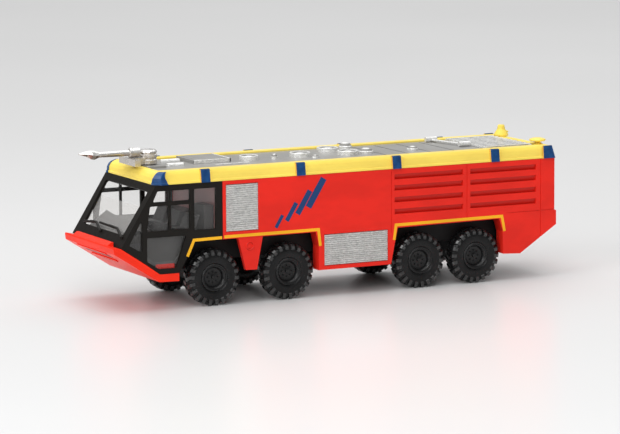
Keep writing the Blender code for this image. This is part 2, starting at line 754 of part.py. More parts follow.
# Nozzle stations: distance behind its tip, half width, then its lowest and highest z
NOZZLE = ((6.2, 0.7, 41.7, 43.1), (4.7, 1.3, 41.15, 43.6), (3.7, 1.4, 41.3, 43.8),
          (2.3, 1.2, 42.1, 43.65), (0.0, 0.6, 42.75, 43.15))


def make_monitor(material, parent):
    """Water cannon on its turret, about the pivot at the parent's origin."""
    low = BAND_TOP_Z + GAP * 2 + MONITOR_GAP
    radius = TURRET_RADIUS
    drum_profile = [
        (0, low), (radius, low), (radius, low + 1.1), (radius - 0.2, low + 1.3), (radius - 0.2, low + 1.6),
        (radius, low + 1.8), (radius, low + 2.5), (radius - 0.25, low + 2.7), (radius - 0.25, low + 3.0),
        (radius, low + 3.2), (radius - 0.1, TURRET_TOP_Z - 0.4), (radius - 0.5, TURRET_TOP_Z), (0, TURRET_TOP_Z),
    ]
    turret = lathe("monitor_turret", "Z", (0, 0, 0), drum_profile, 24)
    front = BRACKET_X[1] - TURRET_X
    back = BRACKET_X[0] - TURRET_X
    top = BARREL_Z - COLLAR_RADIUS - GAP
    arm = box("arm", (radius - 1, back + 0.5), (-ARM_HALF_WIDTH, ARM_HALF_WIDTH), (low, top))
    bracket = box("bracket", (back, front), (-BRACKET_HALF_WIDTH, BRACKET_HALF_WIDTH), (low, top))
    weld(turret, arm, bracket)
    finish(turret, material, parent, 35)
    start = radius + GAP + 0.3
    neck = NOZZLE_TIP_X - TURRET_X - NOZZLE[0][0] + 0.4
    pipe = [(0, start), (COLLAR_RADIUS, start), (COLLAR_RADIUS, back + 1.0), (BARREL_RADIUS, back + 1.2),
            (BARREL_RADIUS - 0.1, neck), (0, neck)]
    barrel = lathe("monitor_barrel", "X", (0, 0, BARREL_Z), pipe, 20)
    knob = [(0, BARREL_Z), (0.75, BARREL_Z), (0.75, KNOB_TOP_Z - 0.3), (0.5, KNOB_TOP_Z), (0, KNOB_TOP_Z)]
    knob = lathe("knob", "Z", (back + 0.4, 0, 0), knob, 14)
    tip = NOZZLE_TIP_X - TURRET_X
    sections = []
    for behind, width, bottom, crest in NOZZLE:
        middle = (bottom + crest) / 2
        x = tip - behind
        sections.append([(x, width, middle), (x, width / 2, crest - 0.15 * (crest - bottom)), (x, 0, crest),
                         (x, -width / 2, crest - 0.15 * (crest - bottom)), (x, -width, middle), (x, 0, bottom)])
    weld(barrel, knob, loft("nozzle", sections))
    finish(barrel, material, parent, 35)


# ---------------------------------------------------------------- chassis and wheels

FRAME_BOTTOM_Z = 12.4
FRAME_FRONT = 6.6
NOSE_X = (4.0, 16.6)
BEARING_HALF_LENGTH = 2.4


def make_chassis(material, parent):
    """Black frame under the body: side boxes, belly, bearings and tail plate."""
    inner = TRACK_OUTER - TYRE_WIDTH - WHEEL_GAP
    low = FRAME_BOTTOM_Z
    top = ARCH_Z - 0.1
    belly = HALF_WIDTH - ARCH_RETURN - GAP
    frame = box("chassis", (TAIL_FRONT - 1.4, FRAME_FRONT), (-inner, inner), (low, top))
    nose = box("nose", NOSE_X, (-inner, inner), (CAB_FLOOR_Z + GAP, low + 0.1))
    tank = box("belly", (BOX_REAR + SHELL_WALL + GAP, BOX_FRONT - SHELL_WALL - GAP), (-belly, belly),
               (BOX_BOTTOM - 0.2, low + 0.5))
    tail = [(TAIL_FRONT - SHELL_WALL - 0.2, low + 2), (TAIL_FRONT - SHELL_WALL - 0.2, TAIL_BOTTOM + 0.1),
            (TAIL_FRONT - 5.4, TAIL_BOTTOM - 0.1), (TAIL_END + 2.2, 14.6), (TAIL_END + 2.2, 16.0),
            (TAIL_FRONT - 5.6, low + 2)]
    tail = prism("tail", "Y", tail, -belly, belly)
    bearings = [box("bearing", (x - BEARING_HALF_LENGTH, x + BEARING_HALF_LENGTH), (-inner + 0.6, inner - 0.6),
                    (TYRE_RADIUS - 2.0, low + 0.5)) for x in AXLE_X]
    weld(frame, nose, tank, tail, *bearings)
    bores = [cylinder("bore", "Y", (x, 0, TYRE_RADIUS), AXLE_RADIUS + BEARING_GAP, -20, 20, 16)
             for x in AXLE_X]
    cut(frame, *bores)
    return finish(frame, material, parent)


HUB_DEPTH = 2.3       # material between the wheel's outer face and its blind bore


def wheel_profile(side):
    """Tyre and rim in one turned section, from the hub's outer centre to its blind bore."""
    outer = TRACK_OUTER
    inner = TRACK_OUTER - TYRE_WIDTH
    facet = 1 / math.cos(math.pi / WHEEL_STEPS)
    radius = TYRE_RADIUS * facet
    bore = AXLE_RADIUS + 0.03
    points = [
        (0, outer - 0.9), (0.9, outer - 0.9), (1.2, outer - 1.5), (2.9, outer - 1.5),
        (3.3, outer - 0.4), (3.9, outer - 0.4), (4.2, outer), (6.6, outer - 0.1),
        (radius, outer - 1.0), (radius, inner + 1.0), (6.6, inner), (bore, inner),
        (bore, outer - HUB_DEPTH), (0, outer - HUB_DEPTH),
    ]
    return [(r, side * y) for r, y in points]


def make_wheels(rubber, steel, parent):
    """Each axle with its two wheels turns as one piece about the axle's centre line."""
    start = math.pi / WHEEL_STEPS - math.pi / 2
    reach = TRACK_OUTER - HUB_DEPTH - 0.05
    for index, x in enumerate(AXLE_X, start=1):
        pivot = empty("wheelset_%d" % index, (x, 0, TYRE_RADIUS), parent)
        axle = cylinder("axle_%d" % index, "Y", (0, 0, 0), AXLE_RADIUS, -reach, reach, 16)
        finish(axle, steel, pivot, 40)
        for name, side in side_names("wheel_%d" % index):
            wheel = lathe(name, "Y", (0, 0, 0), wheel_profile(side), WHEEL_STEPS, start)
            finish(wheel, rubber, pivot, 35)


def build():
    clear_scene()
    red = make_material("red", (0.76, 0.035, 0.022), 0.35)
    black = make_material("black", (0.018, 0.016, 0.015), 0.45)
    yellow = make_material("yellow", (0.92, 0.62, 0.11), 0.4)
    blue = make_material("blue", (0.008, 0.06, 0.24), 0.3)
    grey = make_material("grey", (0.38, 0.38, 0.37), 0.4)
    silver = make_material("silver", (0.6, 0.6, 0.6), 0.35, 0.6)
    interior = make_material("interior", (0.06, 0.06, 0.065), 0.6)
    rubber = make_material("tyre", (0.015, 0.015, 0.016), 0.55)
    steel = make_material("steel", (0.5, 0.5, 0.5), 0.3, 1.0)
    clear = make_material("clear", (0.95, 0.95, 0.95), 0.05, 0.0, 1.0)
    model = empty("model", (MODEL_SHIFT, 0, 0))
    make_body(red, model)
    make_shutters(silver, model)
    make_cab_frame(black, model)
    make_glazing(clear, model)
    make_tub(interior, model)
    make_dashboard(interior, model)
    make_seats(interior, model)
    make_steering_wheel(interior, model)
    make_bumper(red, model)
    make_band(yellow, model)
    make_side_lamps(blue, model)
    make_front_lamps(blue, model)
    make_rear_lamps(blue, model)
    make_deck(grey, model)
    make_rail(silver, model)
    make_grille(silver, model)
    make_rear_fittings(yellow, model)
    make_monitor(silver, empty("monitor_pivot", (TURRET_X, 0, 0), model))
    make_chassis(black, model)
    make_wheels(rubber, steel, model)


build()
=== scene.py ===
"""Looks for a 1:87 plastic model of an airport fire truck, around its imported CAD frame.

Lengths are in metres, and MM turns the millimetres of the design into metres. The frame has +X forward,
+Y to the vehicle's left and +Z up. The design counts x from the front axle, and front_x() turns that
into the frame's x. Its z starts at the ground, as the frame's does.
"""
import json
import math

import bmesh
import bpy
from mathutils import Matrix, Vector


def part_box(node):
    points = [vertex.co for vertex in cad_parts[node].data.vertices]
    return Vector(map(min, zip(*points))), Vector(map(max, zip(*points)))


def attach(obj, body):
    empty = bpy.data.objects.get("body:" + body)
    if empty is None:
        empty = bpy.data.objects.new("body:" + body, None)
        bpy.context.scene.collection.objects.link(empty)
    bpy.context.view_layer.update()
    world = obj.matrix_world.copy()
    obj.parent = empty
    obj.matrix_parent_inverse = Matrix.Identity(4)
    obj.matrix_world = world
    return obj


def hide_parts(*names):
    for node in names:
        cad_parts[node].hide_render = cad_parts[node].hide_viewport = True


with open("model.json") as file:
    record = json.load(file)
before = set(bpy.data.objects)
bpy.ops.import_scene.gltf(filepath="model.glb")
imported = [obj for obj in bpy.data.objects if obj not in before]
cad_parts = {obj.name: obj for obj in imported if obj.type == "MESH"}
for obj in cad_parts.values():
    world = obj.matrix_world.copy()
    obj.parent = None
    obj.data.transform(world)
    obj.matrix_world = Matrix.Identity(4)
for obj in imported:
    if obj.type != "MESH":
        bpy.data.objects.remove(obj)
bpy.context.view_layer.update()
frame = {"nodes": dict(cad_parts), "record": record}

MM = 0.001
TRUCK = "truck"
SIDES = (("left", 1), ("right", -1))
AXLES = (1, 2, 3, 4)

wheel_low, wheel_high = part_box("wheel_1_left")
FRONT_AXLE_X = (wheel_low.x + wheel_high.x) / 2
SIDE_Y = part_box("body_shell")[1].y

DECK_SINK = 1.9     # how far the deck lies under the top of its tallest fitting
DECK_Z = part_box("roof_deck")[1].z - DECK_SINK * MM


def front_x(millimetres):
    """x in the frame of a point given in millimetres ahead of the front axle."""
    return FRONT_AXLE_X + millimetres * MM


# ---------------------------------------------------------------- mesh helpers

def new_object(name, mesh, materials, body=TRUCK):
    """Piece that rides on a body and takes the given materials."""
    thing = bpy.data.objects.new(name, mesh)
    bpy.context.scene.collection.objects.link(thing)
    for material in materials:
        mesh.materials.append(material)
    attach(thing, body)
    return thing


def to_mesh(name, bm, smooth_angle=None):
    """Mesh from a bmesh, smooth across edges flatter than the angle in degrees."""
    bmesh.ops.recalc_face_normals(bm, faces=bm.faces)
    mesh = bpy.data.meshes.new(name)
    bm.to_mesh(mesh)
    bm.free()
    if smooth_angle is not None:
        mesh.shade_smooth()
        mesh.set_sharp_from_angle(angle=math.radians(smooth_angle))
    return mesh


def add_loft(bm, sections, material_index=0):
    """Solid through closed sections of equal point counts."""
    rings = [[bm.verts.new(point) for point in section] for section in sections]
    for ring, after in zip(rings, rings[1:]):
        count = len(ring)
        for index in range(count):
            following = (index + 1) % count
            face = bm.faces.new((ring[index], ring[following], after[following], after[index]))
            face.material_index = material_index
    for ring in (rings[0], rings[-1]):
        bm.faces.new(ring).material_index = material_index


def add_box(bm, low, high):
    plan = [(low[0], low[1]), (high[0], low[1]), (high[0], high[1]), (low[0], high[1])]
    add_loft(bm, [[(x, y, z) for x, y in plan] for z in (low[2], high[2])])


def add_lathe(bm, centre, axis, profile, steps):
    """Turn (radius, along) points about an axis through centre. Radius 0 closes an end."""
    rings = []
    for radius, along in profile:
        ring = []
        for index in range(steps if radius > 0 else 1):
            angle = math.tau * index / steps
            a, b = radius * math.cos(angle), radius * math.sin(angle)
            offset = {"X": (along, a, b), "Y": (a, along, b), "Z": (a, b, along)}[axis]
            ring.append(bm.verts.new(Vector(centre) + Vector(offset)))
        rings.append(ring)
    for ring, after in zip(rings, rings[1:]):
        for index in range(steps):
            following = (index + 1) % steps
            corners = [ring[index % len(ring)], ring[following % len(ring)],
                       after[following % len(after)], after[index % len(after)]]
            bm.faces.new(list(dict.fromkeys(corners)))


WELD = 1e-7


def in_metres(profile, direction=1):
    """(radius, along) points from millimetres, with along turned to face a direction."""
    return [(radius * MM, direction * along * MM) for radius, along in profile]


def add_strip(bm, line, half_width, normal, thickness):
    """Flat raised strip along a polyline, mitred at its corners, on a plane with that normal."""
    normal = Vector(normal)
    points = [Vector(point) for point in line]
    left, right = [], []
    for index, point in enumerate(points):
        before = points[index] - points[index - 1] if index else points[1] - points[0]
        after = points[index + 1] - points[index] if index + 1 < len(points) else before
        across_before = normal.cross(before).normalized()
        across_after = normal.cross(after).normalized()
        mitre = (across_before + across_after).normalized()
        reach = half_width / mitre.dot(across_after)
        left.append(point + mitre * reach)
        right.append(point - mitre * reach)
    rise = normal * thickness
    add_loft(bm, [[near, far, far + rise, near + rise] for near, far in zip(left, right)])


EDGE_SEGMENTS = 2
EDGE_ANGLE = math.radians(28)


def soften(thing, width):
    """Rounded moulding edges on a CAD node or a new piece."""
    bevel = thing.modifiers.new("edges", "BEVEL")
    bevel.width = width
    bevel.segments = EDGE_SEGMENTS
    bevel.limit_method = "ANGLE"
    bevel.angle_limit = EDGE_ANGLE
    bevel.use_clamp_overlap = True
    return thing


# ---------------------------------------------------------------- materials

COLOUR_SOCKETS = slice(6, 8)     # a Mix node has a pair of inputs for each kind of value
COLOUR_RESULT = 2
COAT_ROUGHNESS = 0.1


class Nodes:
    """A material's node tree with short helpers for its procedural nodes."""

    def __init__(self, name):
        self.material = bpy.data.materials.new(name)
        self.material.use_nodes = True
        self.tree = self.material.node_tree
        self.place = self.node("ShaderNodeTexCoord").outputs["Object"]

    def node(self, kind, **values):
        made = self.tree.nodes.new(kind)
        for name, value in values.items():
            setattr(made, name, value)
        return made

    def link(self, source, target):
        self.tree.links.new(source, target)

    def facing(self, axis, normal="Normal"):
        """How far the surface faces along a world axis, from -1 to 1."""
        shape = self.node("ShaderNodeNewGeometry")
        parts = self.node("ShaderNodeSeparateXYZ")
        self.link(shape.outputs[normal], parts.inputs["Vector"])
        return parts.outputs[axis]

    def noise(self, scale, detail=3.0, stretch=(1, 1, 1), roughness=0.55):
        mapping = self.node("ShaderNodeMapping")
        mapping.inputs["Scale"].default_value = stretch
        self.link(self.place, mapping.inputs["Vector"])
        made = self.node("ShaderNodeTexNoise")
        made.inputs["Scale"].default_value = scale
        made.inputs["Detail"].default_value = detail
        made.inputs["Roughness"].default_value = roughness
        self.link(mapping.outputs["Vector"], made.inputs["Vector"])
        return made.outputs["Fac"]

    def ramp(self, source, low, high, start=0.35, end=0.65):
        """Colour that runs from low to high as the source runs from start to end."""
        made = self.node("ShaderNodeValToRGB")
        first, last = made.color_ramp.elements
        first.position, last.position = start, end
        first.color, last.color = (*low, 1.0), (*high, 1.0)
        self.link(source, made.inputs["Fac"])
        return made.outputs["Color"]

    def span(self, source, low, high, start=0.3, end=0.7):
        """Number that runs from low to high as the source runs from start to end."""
        made = self.node("ShaderNodeMapRange")
        for socket, value in zip(("From Min", "From Max", "To Min", "To Max"), (start, end, low, high)):
            made.inputs[socket].default_value = value
        self.link(source, made.inputs["Value"])
        return made.outputs["Result"]

    def mix(self, factor, first, second):
        """Colour mix; each of first and second is a colour or a socket."""
        made = self.node("ShaderNodeMix", data_type="RGBA")
        self.link(factor, made.inputs["Factor"])
        for socket, value in zip(made.inputs[COLOUR_SOCKETS], (first, second)):
            if isinstance(value, tuple):
                socket.default_value = (*value, 1.0)
            else:
                self.link(value, socket)
        return made.outputs[COLOUR_RESULT]

    def bump(self, source, strength, distance, chain=None):
        made = self.node("ShaderNodeBump")
        made.inputs["Strength"].default_value = strength
        made.inputs["Distance"].default_value = distance
        self.link(source, made.inputs["Height"])
        if chain is not None:
            self.link(chain, made.inputs["Normal"])
        return made.outputs["Normal"]


class Surface(Nodes):
    """A Principled material."""

    def __init__(self, name, roughness, metallic=0.0, specular=0.5, coat=0.0):
        super().__init__(name)
        self.shader = self.tree.nodes["Principled BSDF"]
        self.set("Roughness", roughness)
        self.set("Metallic", metallic)
        self.set("Specular IOR Level", specular)
        self.set("Coat Weight", coat)
        self.set("Coat Roughness", COAT_ROUGHNESS)

    def set(self, socket, value):
        self.shader.inputs[socket].default_value = value

    def colour(self, source):
        self.link(source, self.shader.inputs["Base Color"])

    def rough(self, source):
        self.link(source, self.shader.inputs["Roughness"])

    def normal(self, source):
        self.link(source, self.shader.inputs["Normal"])


FLOW_TINT = 0.06


def scaled(colour, factor):
    return tuple(min(1.0, channel * factor) for channel in colour)


def moulded_plastic(name, colour, roughness=0.35, specular=0.5, grain=1.0, under=1.0):
    """Injection-moulded plastic: faint flow marks in colour and gloss, fine grain in the surface.

    grain scales its bumps, and under is how much of its colour it keeps where it faces down, as painted shade
    on the undersides.
    """
    surface = Surface(name, roughness, specular=specular)
    flow = surface.noise(90, 3, (1, 1, 2.2))
    shade = surface.ramp(flow, scaled(colour, 1 - FLOW_TINT), scaled(colour, 1 + FLOW_TINT))
    # Painted shade: faces that look down get a darker copy of the colour.
    if under < 1:
        outside_painted_shade = surface.span(surface.facing("Z"), 0.0, 1.0, -0.32, -0.12)
        shade = surface.mix(outside_painted_shade, scaled(colour, under), shade)
    surface.colour(shade)
    surface.rough(surface.span(surface.noise(700, 4), roughness - 0.05, roughness + 0.07))
    waves = surface.bump(surface.noise(160, 2), 0.05 * grain, 0.0004)
    surface.normal(surface.bump(surface.noise(2600, 2), 0.07 * grain, 0.00005, waves))
    return surface.material


def silver_paint(name, dark, light, speckle=1.0):
    """Silver paint over grey plastic. speckle is how much of the plastic shows through as grains."""
    surface = Surface(name, 0.42, metallic=0.35)
    grains = surface.noise(2300, 4, (0.45, 1, 1.9), 0.7)
    patch = surface.noise(420, 3, (0.5, 1, 1.4))
    base = surface.ramp(grains, dark, light, 0.5 - 0.16 * speckle, 0.5 + 0.16 * speckle)
    surface.colour(surface.mix(surface.span(patch, 0.0, 0.35), base, light))
    surface.rough(surface.span(grains, 0.5, 0.3))
    surface.normal(surface.bump(grains, 0.35 * speckle, 0.00008))
    return surface.material


def chrome_paint():
    """Bright silver on the monitor, with painted shade: darker and browner on the faces that look down."""
    surface = Surface("monitor_silver", 0.24, metallic=0.7)
    outside_painted_shade = surface.span(surface.facing("Z"), 0.0, 1.0, -0.35, 0.45)
    cloud = surface.noise(420, 4)
    pale = surface.ramp(cloud, (0.78, 0.77, 0.75), (0.92, 0.91, 0.89))
    # Painted shade: faces that look down get a darker, browner colour.
    surface.colour(surface.mix(outside_painted_shade, (0.42, 0.36, 0.30), pale))
    surface.rough(surface.span(cloud, 0.18, 0.32))
    surface.normal(surface.bump(surface.noise(500, 3), 0.25, 0.00012))
    return surface.material


def tyre_rubber(name, specular):
    """Soft black plastic with a little dust."""
    surface = Surface(name, 0.3, specular=specular)
    dust = surface.noise(260, 5)
    surface.colour(surface.ramp(dust, (0.003, 0.003, 0.0032), (0.008, 0.008, 0.0085)))
    surface.rough(surface.span(surface.noise(900, 4), 0.22, 0.4))
    surface.normal(surface.bump(surface.noise(3000, 3), 0.15, 0.00006))
    return surface.material


SIDE_HAZE = 0.015     # share of milky plastic in the side windows
SCREEN_HAZE = 0.14    # and in the leaning windscreen


def outside_gloss(nodes):
    """Fresnel reflection on the outer faces of the glazing, and none on the inner ones."""
    fresnel = nodes.node("ShaderNodeFresnel")
    fresnel.inputs["IOR"].default_value = 1.45
    outside = nodes.node("ShaderNodeMath", operation="MULTIPLY_ADD")
    outside.inputs[1].default_value = -1.0
    outside.inputs[2].default_value = 1.0
    nodes.link(nodes.node("ShaderNodeNewGeometry").outputs["Backfacing"], outside.inputs[0])
    gloss = nodes.node("ShaderNodeMath", operation="MULTIPLY")
    nodes.link(fresnel.outputs["Fac"], gloss.inputs[0])
    nodes.link(outside.outputs["Value"], gloss.inputs[1])
    return gloss.outputs["Value"]


def mix_shaders(nodes, share, first, second):
    mixed = nodes.node("ShaderNodeMixShader")
    nodes.link(share, mixed.inputs["Fac"])
    nodes.link(first.outputs[0], mixed.inputs[1])
    nodes.link(second.outputs[0], mixed.inputs[2])
    return mixed


def clear_plastic():
    """Clear polystyrene: a thin shell seen through, with a soft sheen, faint swirls and a milky share."""
    nodes = Nodes("clear_glazing")
    nodes.tree.nodes.remove(nodes.tree.nodes["Principled BSDF"])
    through = nodes.node("ShaderNodeBsdfTransparent")
    through.inputs["Color"].default_value = (0.975, 0.972, 0.968, 1)
    milk = nodes.node("ShaderNodeBsdfDiffuse")
    milk.inputs["Color"].default_value = (0.9, 0.88, 0.86, 1)
    haze = nodes.span(nodes.facing("X", "True Normal"), SIDE_HAZE, SCREEN_HAZE)
    cloudy = mix_shaders(nodes, haze, through, milk)
    sheen = nodes.node("ShaderNodeBsdfGlossy")
    sheen.inputs["Roughness"].default_value = 0.08
    swirls = nodes.noise(120, 2.0, roughness=0.5)
    nodes.link(nodes.bump(swirls, 0.08, 0.0004), sheen.inputs["Normal"])
    glazed = mix_shaders(nodes, outside_gloss(nodes), cloudy, sheen)
    nodes.link(glazed.outputs["Shader"], nodes.tree.nodes["Material Output"].inputs["Surface"])
    return nodes.material


def lamp_paint():
    """Blue paint on a lamp's outer faces; its front and rear ends stay moulded yellow."""
    surface = Surface("lamp_blue", 0.3, specular=0.35, coat=0.1)
    either_end = surface.node("ShaderNodeMath", operation="ABSOLUTE")
    surface.link(surface.facing("X", "True Normal"), either_end.inputs[0])
    unpainted = surface.span(either_end.outputs["Value"], 0.0, 1.0, 0.93, 0.97)
    blue = surface.ramp(surface.noise(500, 3), (0.003, 0.038, 0.14), (0.008, 0.070, 0.22))
    plastic = surface.ramp(surface.noise(300, 3), (0.75, 0.40, 0.05), (0.85, 0.5, 0.09))
    surface.colour(surface.mix(unpainted, blue, plastic))
    surface.normal(surface.bump(surface.noise(900, 3), 0.25, 0.0001))
    return surface.material


RED = (0.80, 0.022, 0.012)
# Brighter copy of the body red for the bumper: painted light on its front-facing faces.
BUMPER_RED_PAINTED_LIGHT = (0.96, 0.035, 0.014)
YELLOW = (0.97, 0.73, 0.125)
STRIPE = (0.92, 0.46, 0.014)

# Body red with painted shade on the faces that look down.
red = moulded_plastic("body_red", RED, 0.36, specular=0.2, under=0.68)
bumper_red_painted_light = moulded_plastic("bumper_red_painted_light", BUMPER_RED_PAINTED_LIGHT, 0.36, specular=0.1)
yellow = moulded_plastic("band_yellow", YELLOW, 0.38, specular=0.3)
red_shadow = moulded_plastic("red_shadow", (0.30, 0.008, 0.006), 0.45, specular=0.15)
stripe_yellow = moulded_plastic("stripe_yellow", STRIPE, 0.4, specular=0.25)
cab_black = moulded_plastic("cab_black", (0.011, 0.0095, 0.008), 0.42, specular=0.14, grain=1.6)
chassis_black = moulded_plastic("chassis_black", (0.012, 0.011, 0.011), 0.5, specular=0.2, grain=1.6)
mark_blue = moulded_plastic("mark_blue", (0.014, 0.055, 0.17), 0.4, specular=0.2)
interior_grey = moulded_plastic("interior_grey", (0.075, 0.075, 0.075), 0.45, grain=1.6)
hood_grey = moulded_plastic("hood_grey", (0.055, 0.052, 0.050), 0.5, grain=1.6)
door_grey = moulded_plastic("door_grey", (0.035, 0.035, 0.035), 0.4, grain=1.6)
# Pale pink for the cab's rear wall: painted reflection of the glazing over the red wall.
wall_pink_painted_reflection = moulded_plastic("wall_pink_painted_reflection", (0.62, 0.33, 0.33), 0.35)
deck_grey = moulded_plastic("deck_grey", (0.30, 0.295, 0.28), 0.33, grain=1.2)
bright_silver = silver_paint("bright_silver", (0.60, 0.60, 0.58), (0.92, 0.92, 0.90), 0.12)
monitor_silver = chrome_paint()
shutter_silver = silver_paint("shutter_silver", (0.34, 0.34, 0.33), (0.80, 0.80, 0.78))
tyre_black = tyre_rubber("tyre_black", 0.27)
lug_black = tyre_rubber("lug_black", 0.9)
rim_black = moulded_plastic("rim_black", (0.007, 0.007, 0.0075), 0.28, specular=0.35)
axle_steel = silver_paint("axle_steel", (0.3, 0.3, 0.3), (0.6, 0.6, 0.6), 0.6)
clear = clear_plastic()
lamp_blue = lamp_paint()

SLOT_LOOKS = {
    "red": red, "cab_black": cab_black, "chassis_black": chassis_black, "silver": shutter_silver,
    "clear": clear, "interior": interior_grey, "yellow": yellow, "blue": lamp_blue,
    "deck_grey": deck_grey, "deck_silver": bright_silver, "tyre": tyre_black, "steel": axle_steel,
}
NODE_LOOKS = {
    "front_bumper": bumper_red_painted_light, "monitor_turret": monitor_silver, "monitor_barrel": monitor_silver,
}
LAMP_EDGE = 0.12
EDGE_WIDTHS = {
    "body_shell": 0.10, "cab_frame": 0.08, "front_bumper": 0.22, "roof_band": 0.16, "roof_deck": 0.12,
    "monitor_turret": 0.12, "monitor_barrel": 0.12, "cross_rail": 0.1, "rear_grille": 0.08,
    "rear_fitting_left": 0.1, "rear_fitting_right": 0.12, "seats_front": 0.7, "seats_rear": 0.7,
    "dashboard": 0.3, "steering_wheel": 0.08, "chassis": 0.15,
}


def dress_cad_nodes():
    """Give every CAD node its material, and rounded edges where the moulding has them."""
    for row in frame["record"]["subparts"]:
        name = row["node"]
        node = frame["nodes"][name]
        node.data.materials.clear()
        node.data.materials.append(NODE_LOOKS.get(name, SLOT_LOOKS[row["material_slot"]]))
        width = LAMP_EDGE if name.startswith("lamp") else EDGE_WIDTHS.get(name)
        if width is not None:
            soften(node, width * MM)


# ---------------------------------------------------------------- wheels

LUGS = 22
TYRE_STEPS = LUGS * 6
TYRE_HALF_WIDTH = 2.3
LUG_HALF_ANGLE = math.tau / LUGS * 0.27
LUG_SWEEP = 0.05
LUG_TAPER = 0.82
# distance from the tyre's middle, foot and top radius, and sweep round the tyre
LUG_STATIONS = (
    (0.02, 7.5, 7.95, -LUG_SWEEP), (1.35, 7.4, 7.97, 0.0), (2.0, 7.0, 7.74, LUG_SWEEP),
    (2.34, 6.6, 7.26, LUG_SWEEP * 1.3), (2.36, 6.3, 6.75, LUG_SWEEP * 1.3), (2.26, 6.2, 6.4, LUG_SWEEP * 1.3),
)
# radius, and distance in from the tyre's side face
TYRE_LIP = (3.95, 0.25)
TYRE_BEAD = (4.2, 0.05)     # on the outer face alone
TYRE_SHOULDER = ((4.6, 0), (5.6, 0), (6.3, 0.06), (6.9, 0.3), (7.35, 0.75), (7.68, 1.3))
TYRE_CROWN_RADIUS = 7.74


def add_lug(bm, centre, outward, angle):
    """One block of the tread, from the middle of the crown over the tyre's shoulder."""
    sections = []
    for along, low, high, sweep in LUG_STATIONS:
        top = LUG_HALF_ANGLE * LUG_TAPER
        ring = []
        for radius, turn in ((low, -LUG_HALF_ANGLE), (high, -top), (high, top), (low, LUG_HALF_ANGLE)):
            a = angle + turn + sweep
            ring.append(centre + Vector((math.cos(a) * radius, outward * along, math.sin(a) * radius)) * MM)
        sections.append(ring)
    add_loft(bm, sections, material_index=1)


def from_side_face(points):
    """(radius, inset) points as (radius, distance from the tyre's middle)."""
    return [(radius, TYRE_HALF_WIDTH - inset) for radius, inset in points]


def tyre_mesh(name, centre, outward):
    """Tyre with smooth sidewalls and chunky lugs, staggered between the two halves of its crown."""
    bm = bmesh.new()
    lip, bead, *near = from_side_face((TYRE_LIP, TYRE_BEAD, *TYRE_SHOULDER))
    far = [(radius, -along) for radius, along in reversed([lip, *near])]
    carcass = [lip, bead, *near, (TYRE_CROWN_RADIUS, 0.0), *far, lip]
    add_lathe(bm, centre, "Y", in_metres(carcass, outward), TYRE_STEPS)
    bmesh.ops.remove_doubles(bm, verts=bm.verts, dist=WELD)
    for index in range(LUGS):
        angle = math.tau * index / LUGS
        add_lug(bm, centre, outward, angle)
        add_lug(bm, centre, -outward, angle + math.pi / LUGS)
    return to_mesh(name, bm, 32)


RIM_STEPS = 64
# radius, and distance in from the tyre's side face
RIM_DISH = (
    (0, 0.75), (0.55, 0.75), (0.62, 0.85), (0.62, 1.25), (1.15, 1.35), (1.9, 1.4), (2.55, 1.3), (2.75, 0.8),
    (3.05, 0.35), (3.3, 0.22), (3.42, 0.02), (3.75, 0.0), (3.9, 0.12), (3.98, 0.3),
)
RIM_BACK = ((3.98, 0.25), (3.6, 0.3), (2.4, 0.9), (0, 0.9))
NUTS = 8
NUT_CIRCLE = 1.55
NUT_STEPS = 12
NUT = ((0, 1.0), (0.17, 1.03), (0.22, 1.1), (0.22, 1.5), (0, 1.5))


def rim_mesh(name, centre, outward):
    """Rim with a rolled edge, a dished centre, a ring of nuts and a hub cap."""
    bm = bmesh.new()
    back = [(radius, -along) for radius, along in from_side_face(RIM_BACK)]
    add_lathe(bm, centre, "Y", in_metres(from_side_face(RIM_DISH) + back, outward), RIM_STEPS)
    for index in range(NUTS):
        angle = math.tau * index / NUTS
        place = centre + Vector((math.cos(angle), 0, math.sin(angle))) * NUT_CIRCLE * MM
        add_lathe(bm, place, "Y", in_metres(from_side_face(NUT), outward), NUT_STEPS)
    return to_mesh(name, bm, 30)


def make_wheels():
    """Tyre in place of each CAD wheel, with its rim."""
    for axle in AXLES:
        body = "wheelset_%d" % axle
        for side, sign in SIDES:
            node = "wheel_%d_%s" % (axle, side)
            low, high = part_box(node)
            centre = (low + high) / 2
            place = "%d_%s" % (axle, side)
            rubber = (tyre_black, lug_black)
            tyre = new_object("tyre_" + place, tyre_mesh(node, centre, sign), rubber, body)
            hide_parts(node)
            new_object("rim_" + place, rim_mesh(node, centre, sign), (rim_black,), body)


# ---------------------------------------------------------------- shutters

SLAT_HEIGHT = 0.6
SLAT_CURVE = ((0.03, 0.3), (0.26, 0.05), (0.68, 0.02), (0.86, 0.3))   # share of the pitch, depth


def shutter_mesh(node, sign):
    """Roller shutter: a column of rounded slats across the recess."""
    low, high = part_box(node)
    bm = bmesh.new()
    count = round((high.z - low.z) / (SLAT_HEIGHT * MM))
    pitch = (high.z - low.z) / count
    back, face = (low.y, high.y) if sign > 0 else (high.y, low.y)
    outline = [(back, low.z)]
    for index in range(count):
        foot = low.z + index * pitch
        outline += [(face - sign * depth * MM, foot + pitch * share) for share, depth in SLAT_CURVE]
    outline.append((back, high.z))
    add_loft(bm, [[(x, y, z) for y, z in outline] for x in (low.x, high.x)])
    return to_mesh(node, bm, 20)


def make_shutters():
    for side, sign in SIDES:
        for place in ("front", "middle"):
            node = "shutter_%s_%s" % (place, side)
            name = "slats_%s_%s" % (place, side)
            slats = new_object(name, shutter_mesh(node, sign), (shutter_silver,))
            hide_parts(node)


# ---------------------------------------------------------------- paint on the sides

